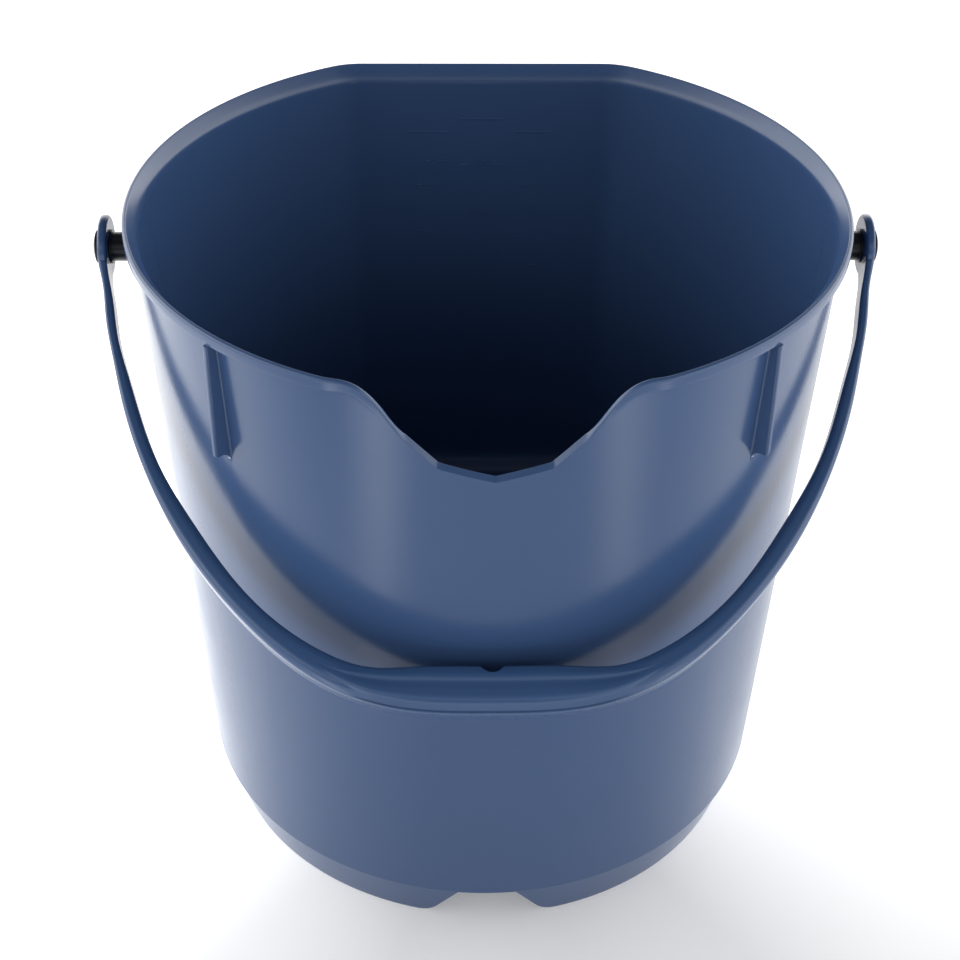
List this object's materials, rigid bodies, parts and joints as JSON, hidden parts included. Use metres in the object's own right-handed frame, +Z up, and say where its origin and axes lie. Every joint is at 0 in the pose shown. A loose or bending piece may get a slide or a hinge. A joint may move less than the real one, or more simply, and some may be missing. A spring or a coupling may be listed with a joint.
{
  "type": "feed bucket",
  "caption": "Round plastic feed bucket with a flat back, a V-shaped pouring spout, a stepped foot with a finger arch, and a swinging bail handle on side pivots.",
  "frame": {"origin": "on the ground plane, where the axis of the round wall meets it", "axes": "+Z up, -Y towards the pouring spout, +Y towards the flat back, X along the handle's pivot axis"},
  "size_m": [0.3484, 0.3142, 0.317],
  "materials": {
    "bucket_plastic": "satin moulded polypropylene",
    "handle_plastic": "satin moulded polypropylene",
    "pivot_plastic": "black moulded plastic"
  },
  "bodies": {
    "bucket": {"bucket_body": "bucket_plastic", "pivot_pin_left": "pivot_plastic", "pivot_pin_right": "pivot_plastic", "spacer_bush_left": "pivot_plastic", "spacer_bush_right": "pivot_plastic", "thrust_washer_left": "pivot_plastic", "thrust_washer_right": "pivot_plastic"},
    "bail": {"bail_handle": "handle_plastic"}
  },
  "joints": [
    {"name": "bail_swing", "type": "hinge", "parent": "bucket", "child": "bail", "pos_m": [0, 0, 0.2928], "axis": [-1, 0, 0], "range_deg": [0, 260]}
  ]
}
